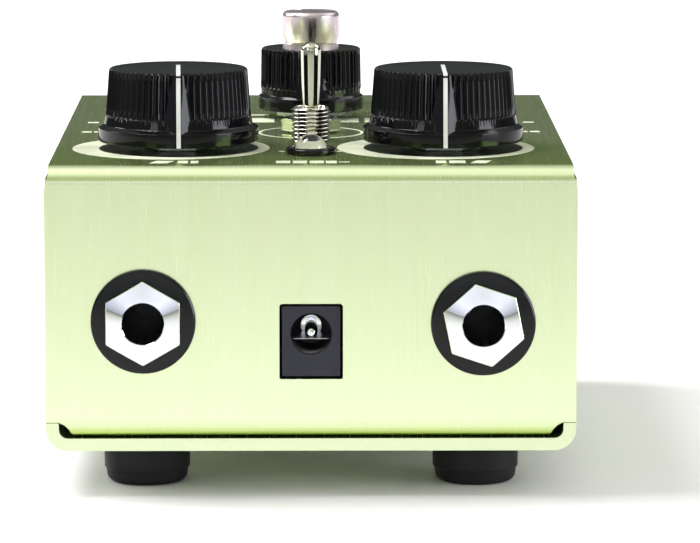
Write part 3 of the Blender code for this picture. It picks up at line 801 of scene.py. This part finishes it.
def strip(points, half, depth):
    """Return a thin bar along a line in the YZ plane, sunk by a depth below the line."""
    bm = bmesh.new()
    rings = []
    for y, z, down_y, down_z in points:
        low_y, low_z = y + down_y * depth, z + down_z * depth
        rings.append([bm.verts.new(corner) for corner in (
            (-half, y, z), (half, y, z), (half, low_y, low_z), (-half, low_y, low_z))])
    return close_ends(bm, rings)


def pointer(size):
    """Return the white line: one bar on the knob's top and one down the fin's ridge."""
    height = size["height"] + 0.02
    edge = ridge_reach(size, size["crown_height"])
    top = strip([(size["line_back"], height, 0, -1), (0.35 - edge, height, 0, -1),
                 (0.08 - edge, height - 0.13, 0.4, -0.9), (-edge - 0.02, height - 0.3, 1, 0)],
                LINE_HALF, 0.3)
    ends = (size["crown_height"] - 0.25, size["rim_low"] + 0.1)
    front = strip([(-ridge_reach(size, end) - 0.03, end, 1, 0) for end in ends], LINE_HALF, 0.4)
    return merge(top, front)


def add_knob(name, size, aim=0.0):
    """Add a knob, resting turned by an angle, and its white line to the body that turns."""
    body = name + "_control"
    turn = (0, 0, aim)
    place = on_panel(name + "_shaft")
    bm = turned(knob_rings(size), size["flutes"] * FLUTE_STEPS, -math.pi / 2)
    add_piece(name + "_fluted_knob", bm, "knob", [name + "_knob"], place, 38, body, turn,
              joined=[fin(size)])
    add_piece(name + "_white_line", pointer(size), "white", [name + "_pointer"], place, 0, body, turn)


# ---- toggle, trimmer and lamp ----

def threaded(major, minor, pitch, low, high, bore):
    """Return a threaded tube with a chamfered upper end."""
    steps = max(2, round((high - low) / pitch * 12))
    depth = major - minor
    profile = [(bore, low)]
    for step in range(steps + 1):
        level = low + (high - low) * step / steps
        ease_off = min(1.0, (high - level) / 0.35 + 0.15)

        def radius(angle, level=level, ease_off=ease_off):
            phase = (level / pitch - angle / (2 * math.pi)) % 1.0
            crest = (0.5 - 0.5 * math.cos(2 * math.pi * phase)) ** 0.8
            return minor + depth * min(crest, ease_off)
        profile.append((radius, level))
    profile += [(bore + 0.12, high), (bore, high - 0.12)]
    return turned(profile, 96)


def hex_nut(across_flats, low, high, bore):
    """Return a hexagon nut with its upper corners turned off, as a chamfer does."""
    hexed = hexagon(across_flats, 0.1)
    turn_off = across_flats / 2 * 1.02
    lip, drop = 0.12, 0.03

    def chamfered(angle):
        return min(hexed(angle), turn_off)

    def shoulder(angle):
        return high - 2 * drop - max(0.0, hexed(angle) - turn_off) * 0.55
    profile = [(bore, low), (hexed, low), (hexed, shoulder), (chamfered, high - drop),
               (turn_off - lip, high), (bore + 0.2, high), (bore, high - 0.2)]
    return turned(profile, 96)


STUB_LENGTH = 3.3


def bat_profile(length):
    """Return the bat lever's section about its pivot: stub, ball, tapered bat and round tip."""
    ball, stub, neck, tip, dome = 2.1, 0.9, 1.25, 1.61, 1.3
    dip = math.degrees(math.acos(stub / ball))
    rise = math.degrees(math.acos(neck / ball))
    profile = [(0, -STUB_LENGTH), (stub, -STUB_LENGTH)] + arc((0, 0), ball, -dip, rise, 12)
    base, shoulder = profile[-1][1], length - dome
    for step in range(1, 11):
        share = step / 10
        profile.append((neck + (tip - neck) * (1 - (1 - share) ** 1.2), base + (shoulder - base) * share))
    for step in range(1, 13):
        share = math.radians(90 * step / 12)
        profile.append((tip * math.cos(share), shoulder + dome * math.sin(share)))
    return profile[:-1] + [(0, length)]


def add_toggle():
    """Add the toggle's threaded bushing with its keyway, and the bat lever."""
    top = corners("toggle_bushing")[1].z - TOP_Z
    keyway = block((-0.6, -4, -3.6), (1.26, -2.72, 7))
    add_piece("toggle_threaded_bushing", threaded(3.12, 2.68, 0.635, -5.1, top, 2.56), "thread",
              ["toggle_bushing"], on_panel("toggle_bushing"), 60, cuts=[keyway])
    low, high = corners("toggle_lever")
    pivot = low.z + STUB_LENGTH - TOP_Z
    bat = turned(bat_profile(high.z - TOP_Z - pivot))
    add_piece("toggle_bat", bat, "lever", ["toggle_lever"], on_panel("toggle_bushing", pivot), 40,
              "toggle_arm")


def add_trimmer():
    """Add the trimmer's chamfered nut and slotted shaft."""
    place = on_panel("trimmer_nut")
    add_piece("trimmer_hex_nut", hex_nut(8.6, 0.45, 2.5, 3.2), "nickel", ["trimmer_nut"], place)
    shaft = rounded([(0, -7.7), (1.6, -7.7), (1.6, 3.2, 0.2), (0, 3.2)])
    slot = block((-0.25, -3, 2.4), (0.25, 3, 4))
    add_piece("trimmer_slotted_shaft", turned(shaft, 48), "nickel", ["trimmer_shaft"], place,
              body="trimmer_rotor", cuts=[slot])


def add_lamp():
    """Add the clear lamp with its cup and posts inside, in a black bezel."""
    place = on_panel("led_bezel")
    bezel = rounded([(3.15, -4.0), (3.15, SEAM), (3.92, SEAM, 0.1), (3.92, 0.8, 0.3), (3.5, 1.1, 0.3),
                     (2.66, 1.0, 0.2), (2.66, -4.0)])
    add_piece("lamp_bezel", turned(bezel, 96), "black", ["led_bezel"], place, 40)
    radius, spring = 2.5, 0.57
    dome = arc((0, spring), radius, 0, 90, 20)[:-1]
    lens = turned([(0, -5.2), (radius, -5.2)] + dome + [(0, spring + radius)], 80)
    add_piece("lamp_lens", lens, "lens", ["led_lens"], place, 40)
    cup = rounded([(0, -1.6), (1.5, -1.6, 0.2), (2.2, 0.78, 0.05), (2.08, 0.78), (1.1, 0.25, 0.2),
                   (0, 0.25)])
    add_piece("lamp_cup", turned(cup, 48), "cup", (), place, 40)
    first = block((-0.6, -0.12, -5.0), (-0.45, 0.12, 0.8))
    second = block((0.5, -0.12, -5.0), (0.65, 0.12, 0.7))
    add_piece("lamp_leads", merge(first, second), "steel", (), place, 0)


# ---- footswitch ----

def add_footswitch():
    """Add the footswitch's washer, threaded bushing, nut, rolled button and return spring."""
    place = on_panel("footswitch_washer")
    washer = rounded([(6.2, SEAM), (8.5, SEAM, 0.1), (8.5, 1.0, 0.3), (6.2, 1.0, 0.1)])
    add_piece("footswitch_collar", turned(washer, 96), "black", ["footswitch_washer"], place)
    top = corners("footswitch_bushing")[1].z - TOP_Z
    add_piece("footswitch_threaded_bushing", threaded(6.0, 5.62, 0.75, -6.0, top, 4.66), "nickel",
              ["footswitch_bushing"], place, 30)
    add_piece("footswitch_hex_nut", hex_nut(14.0, 1.2, 3.7, 6.05), "nickel", ["footswitch_nut"], place)
    add_piece("footswitch_plunger_cap", turned(button_section(), 96), "satin", ["footswitch_button"],
              place, 50, "footswitch_plunger")
    add_spring(place)


def button_section():
    """Return the hollow button's section: open skirt, wider wall, rolled bead and dished top."""
    bead, wall, skirt, bore, clear = 0.85, 4.88, 4.56, 3.9, 3.7
    reach = corners("footswitch_button")[1].x - centre("footswitch_button").x
    top = corners("footswitch_button")[1].z - TOP_Z
    middle = (reach - bead, top - 0.02 - bead)
    start = -math.degrees(math.acos((wall - middle[0]) / bead))
    roll = arc(middle, bead, start, 100, 16)
    floor = top - 0.12
    step = corners("footswitch_bushing")[1].z - TOP_Z + clear
    outside = [(bore, -1.0), (4.4, -1.0), (skirt, -0.85), (skirt, step), (wall, step + 0.3)] + roll
    return [(0, 9.3), (bore, 9.3)] + outside + [(bore, floor), (1.8, floor + 0.03), (0, floor + 0.04)]


def add_spring(place):
    """Add the return spring as a coil of wire from the bottom to the top of the CAD spring, with a mesh of
    its own.
    """
    low, high = corners("footswitch_spring")
    wire_radius, turns, steps, sides = 0.3, 6, 28, 10
    radius = (high.x - low.x) / 2 - wire_radius
    bottom, rise = low.z - TOP_Z + wire_radius, high.z - low.z - 2 * wire_radius
    bm = bmesh.new()
    rings = []
    for step in range(turns * steps + 1):
        angle = 2 * math.pi * step / steps
        level = bottom + rise * step / (turns * steps)
        section = arc((radius, level), wire_radius, 0, 360, sides)[:-1]
        rings.append([bm.verts.new((reach * math.cos(angle), reach * math.sin(angle), up))
                      for reach, up in section])
    made = add_piece("footswitch_coil", close_ends(bm, rings), "steel", ["footswitch_spring"], place, 50)
    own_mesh(made)


# ---- sockets ----

def add_jack(name, nut_turn=0.0):
    """Add a jack socket's washer and dress nut, drawn with +Z out of the face and +Y up."""
    washer_node = name + "_socket_washer"
    place = on_face(washer_node)
    reach = corners(washer_node)[1].x - place.x
    washer = rounded([(JACK_HOLE, SEAM), (reach, SEAM, 0.08), (reach, 0.62, 0.1), (reach - 0.3, 0.84, 0.2),
                      (6.2, 1.02, 2.0), (JACK_HOLE, 1.02)])
    add_piece(name + "_jack_washer", turned(washer, 128), "black", [washer_node], place, 30,
              rotation=FACING_OUT)
    add_piece(name + "_jack_nut", dress_nut(math.pi / 2 + nut_turn), "chrome", [name + "_socket_nut"],
              place, 25, rotation=FACING_OUT)


def dress_nut(phase):
    """Return a hexagon dress nut, whose face is a dome in the middle and a flat cone around it."""
    hexed = hexagon(11.37, 0.03)
    dome, flat_from, bore, chamfer = 20.0, 3.9, 3.225, 0.12
    low, back = 1.25, 2.5
    crest = PROUD + bore ** 2 / (2 * dome)

    def scaled(share):
        return lambda angle: hexed(angle) * share

    def sink(radius):
        near = min(radius, flat_from)
        return near ** 2 / (2 * dome) + (radius - near) * near / dome

    def level(radius_at, drop=0.0):
        return lambda angle: crest - sink(radius_at(angle)) - drop

    profile = [(JACK_HOLE, low), (hexed, low), (hexed, level(hexed, chamfer))]
    for share in (0.985, 0.92, 0.85, 0.78, 0.71, 0.66):
        profile.append((scaled(share), level(scaled(share))))
    inner = crest - sink(bore + chamfer)
    profile += [(bore + chamfer, inner), (bore, inner - chamfer), (bore, back), (JACK_HOLE, back)]
    return turned(profile, 144, phase)


def add_power_socket():
    """Add the power socket's shell, liner, centre pin and spring leaf."""
    low, high = corners("power_socket_body")
    pin = centre("power_socket_pin")
    place = Vector((pin.x, FACE_Y, pin.z))
    bottom, top = low.z - pin.z, high.z - pin.z
    half = (high.x - low.x) / 2
    outline = rounded([(-half, bottom, 0.2), (half, bottom, 0.2), (half, top, 0.4), (-half, top, 0.4)])
    hole = 3.22
    add_piece("power_socket_shell", prism(outline, "Z", -14, -SEAM), "slate", ["power_socket_body"],
              place, rotation=FACING_OUT, cuts=[drill(hole, -10, 1)], bevel=(0.16, 3))
    lining = [(hole - 0.02, -0.5), (hole - 0.02, -9.95), (hole - 0.25, -9.95), (hole - 0.1, -0.5)]
    add_piece("power_socket_liner", turned(lining), "black", (), place, rotation=FACING_OUT)
    root, reach, shoulder = -9.8, 1.0, -2.3
    tip = arc((0, shoulder), reach, 0, 90, 10)[:-1]
    stem = turned([(0, root), (reach, root)] + tip + [(0, shoulder + reach)], 48)
    collar = rounded([(0.98, root), (1.72, root), (1.72, -8.8, 0.08), (0.98, -8.8)])
    add_piece("power_socket_centre_pin", merge(stem, turned(collar, 48)), "chrome", ["power_socket_pin"],
              place, 40, rotation=FACING_OUT)
    leaf = rounded([(-2.95, -9), (2.95, -9), (2.95, -1.6, 0.3), (-2.95, -1.6, 0.3)])
    add_piece("power_socket_leaf", prism(leaf, "Y", -0.99, -0.9), "steel", (), place, 40,
              rotation=FACING_OUT)


# ---- printed marks ----

INK = 0.02
INK_ROOT = 0.3


def bar(left, right, depth, thick, slant=0.0):
    """Return a printed bar between two x values, at a depth behind the socket face."""
    near, far = FACE_Y + depth - thick / 2, FACE_Y + depth + thick / 2
    outline = [(left, near), (right, near), (right + slant, far), (left + slant, far)]
    return prism(outline, "Z", TOP_Z - INK_ROOT, TOP_Z + INK)


def ring_mark(middle, inner, outer, shift=0.0):
    """Return a printed ring, whose outer edge may be off centre."""
    low, high, segments = TOP_Z - INK_ROOT, TOP_Z + INK, 120
    bm = turned([(inner, low), (inner, high), (outer, high), (outer, low)], segments)
    bmesh.ops.translate(bm, verts=list(bm.verts)[2 * segments:], vec=(shift, 0, 0))
    return moved(bm, (middle.x, middle.y, 0))


def add_marks():
    """Add the printed crescents, ring, dashes and bars, which stand for nothing, and the dark discs under
    the two big knobs, which are painted reflection and shade of the knobs on the panel.
    """
    marks = bmesh.new()
    painted_reflections = bmesh.new()
    for name in ("input_shaft", "output_shaft"):
        merge(marks, ring_mark(centre(name), 12.65, 15.65, -1.2))
        # Dark disc under the knob: painted reflection and shade of the knob.
        merge(painted_reflections, ring_mark(centre(name), 6.0, 12.62))
    merge(marks, ring_mark(centre("trimmer_nut"), 8.15, 8.6))
    for left, right, depth, thick in ((-5.1, -4.1, 20.0, 0.8), (4.1, 5.1, 20.0, 0.8), (4.3, 6.0, 5.8, 0.9)):
        merge(marks, bar(left, right, depth, thick))
    for left, right, slant in ((-25.0, -22.2, 1.0), (-20.6, -19.0, 0.0), (-18.6, -17.4, 0.0),
                               (-5.4, -3.2, 0.0), (-2.8, -0.6, 0.0), (-0.2, 2.0, 0.0), (2.3, 4.0, 0.0),
                               (19.3, 20.9, 0.0), (21.4, 23.9, 0.0), (24.6, 27.0, 1.0)):
        merge(marks, bar(left, right, 5.8, 3.2, slant))
    for outer, inner, depth in ((37.5, 35.9, 47.5), (35.5, 34.9, 47.5), (37.2, 35.4, 61.5)):
        merge(marks, bar(-outer, -inner, depth, 1.6), bar(inner, outer, depth, 1.6))
    for left, right in ((-19.0, -6.1), (-5.0, 8.0), (9.0, 19.0)):
        merge(marks, bar(left, right, 64.8, 6.4), bar(left + 1.0, right - 1.0, 73.0, 1.6))
    add_piece("panel_marks", marks, "ink", (), sharp=0)
    add_piece("panel_painted_reflections", painted_reflections, "shade", (), sharp=0)


# ---- CAD nodes that stay ----

def dress_nodes():
    """Give the inner CAD nodes that stay their materials."""
    kept = {
        "steel": ["toggle_nut"],
        "black": ["toggle_body", "trimmer_body", "footswitch_body", "input_socket_body",
                  "output_socket_body", "board_link", "amplifier_chip", "filter_capacitor"],
        "board": ["control_board", "socket_board"],
        "brass": ["input_tip_contact", "output_tip_contact"],
    }
    for name in ("input", "output", "tone"):
        kept["steel"] += [name + "_pot_body", name + "_pot_nut", name + "_shaft"]
    for look, names in kept.items():
        for name in names:
            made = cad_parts[name]
            made.data.materials.clear()
            made.data.materials.append(LOOKS[look])


# ---- stage ----

CAMERA_PLACE = (0.0, -0.7288, 0.13315)
CAMERA_PITCH = 8.237
CAMERA_YAW = 0.507
CAMERA_LENS = 228.5
AIM = Vector((0, 0, 0.03))
FLOOR_SIZE = 5000
COOL = (0.92, 0.93, 1.0)
FLOOR_COLOURS = ((-600, (0.48, 0.485, 0.44)), (-400, (0.585, 0.59, 0.56)), (-220, (0.75, 0.75, 0.74)),
                 (-80, (0.88, 0.86, 0.91)))
FLOOR_GLOW = ((-50, (0.0, 0.0, 0.0)), (100, (0.02, 0.02, 0.02)), (350, (0.18, 0.18, 0.18)),
              (900, (0.45, 0.45, 0.45)))
FRONT_ROOM = ((0.0, (0.64, 0.66, 0.72)), (0.05, (0.90, 0.93, 1.01)), (0.13, (1.12, 1.16, 1.24)),
              (0.22, (0.96, 0.99, 1.03)), (0.32, (0.44, 0.48, 0.28)), (0.50, (0.44, 0.48, 0.26)),
              (0.72, (0.54, 0.56, 0.40)), (0.88, (0.66, 0.68, 0.54)))
BACK_ROOM = ((0.0, (0.04, 0.05, 0.05)), (0.08, (0.06, 0.07, 0.07)), (0.12, (0.09, 0.10, 0.09)),
             (0.30, (0.09, 0.10, 0.09)), (0.60, (0.34, 0.34, 0.33)), (0.88, (0.66, 0.68, 0.58)))
SIDE_ROOM = ((0.25, (1.0, 1.0, 1.0)), (0.45, (0.62, 0.62, 0.64)), (0.9, (0.45, 0.45, 0.46)))


def add_camera():
    """Add the camera at the photograph's viewing angle."""
    data = bpy.data.cameras.new("camera")
    data.lens = CAMERA_LENS
    data.sensor_width = 36.0
    camera = bpy.data.objects.new("camera", data)
    camera.location = CAMERA_PLACE
    camera.rotation_euler = (math.radians(90 - CAMERA_PITCH), 0, -math.radians(CAMERA_YAW))
    bpy.context.scene.collection.objects.link(camera)
    bpy.context.scene.camera = camera


def add_floor():
    """Add a large pale floor, greyer in front of the pedal and glowing towards the back."""
    bm = bmesh.new()
    bmesh.ops.create_grid(bm, x_segments=1, y_segments=1, size=FLOOR_SIZE)
    look, shader = new_look("studio_floor", (0.92, 0.92, 0.92), 0.6)
    shader.inputs["Specular IOR Level"].default_value = 0.2
    shader.inputs["Emission Strength"].default_value = 1.0
    wire(look, place_ramp(look, "Y", FLOOR_COLOURS), shader.inputs["Base Color"])
    wire(look, place_ramp(look, "Y", FLOOR_GLOW), shader.inputs["Emission Color"])
    floor = add_object("studio_floor", bm, look, (0, 0, -0.02))


def add_softbox(name, azimuth, elevation, distance, size, power, colour=(1, 1, 1)):
    """Add an area light aimed at the pedal; azimuth 0 is the camera's side, positive to the right."""
    data = bpy.data.lights.new(name, "AREA")
    data.shape = "RECTANGLE"
    data.size, data.size_y = size
    data.energy = power
    data.color = colour
    light = bpy.data.objects.new(name, data)
    turn, rise = math.radians(azimuth), math.radians(elevation)
    away = Vector((math.sin(turn) * math.cos(rise), -math.cos(turn) * math.cos(rise), math.sin(rise)))
    light.location = AIM + away * distance
    light.rotation_euler = away.to_track_quat("Z", "Y").to_euler()
    bpy.context.scene.collection.objects.link(light)


def add_world():
    """Add a studio room: pale in front of the pedal and overhead, and dark low down behind it."""
    world = bpy.data.worlds.new("studio_room")
    world.use_nodes = True
    split = split_place(world, "Generated")
    aside = node(world, "Math", operation="ABSOLUTE")
    wire(world, split, aside.inputs[0], "X")
    behind = spread(world, split, 0.0, 1.0, (-0.3, 0.3), "Y").outputs[0]
    front = ramp(world, split, FRONT_ROOM, "Z").outputs[0]
    sides = ramp(world, aside, SIDE_ROOM).outputs[0]
    back = ramp(world, split, BACK_ROOM, "Z").outputs[0]
    room = blend(world, "MIX", blend(world, "MULTIPLY", front, sides), back, behind)
    world.node_tree.links.new(room, world.node_tree.nodes["Background"].inputs["Color"])
    bpy.context.scene.world = world


def add_stage():
    """Add the floor, the lights, the room and the camera."""
    add_floor()
    add_softbox("overhead_softbox", 0, 75, 1.3, (1.6, 1.4), 2.5)
    add_softbox("left_key", -112, 30, 1.2, (0.35, 0.4), 6)
    add_softbox("high_key", -92, 62, 1.2, (0.5, 0.5), 11)
    add_softbox("right_front_softbox", 69, 12, 1.1, (0.5, 0.5), 6, COOL)
    add_softbox("left_front_softbox", -38, 24, 1.1, (0.25, 0.4), 1.0, COOL)
    add_softbox("right_fill", 116, 42, 1.2, (0.8, 0.6), 3.0)
    add_world()
    add_camera()
    bpy.context.scene.view_settings.view_transform = "Standard"


# ---- everything ----

def build():
    """Add every piece and the stage."""
    add_cover()
    add_tray()
    add_feet()
    add_knob("input", BIG_KNOB, INPUT_AIM)
    add_knob("output", BIG_KNOB)
    add_knob("tone", SMALL_KNOB)
    add_toggle()
    add_trimmer()
    add_lamp()
    add_footswitch()
    add_jack("input")
    add_jack("output", OUTPUT_NUT_TURN)
    add_power_socket()
    add_marks()
    dress_nodes()
    add_stage()


build()
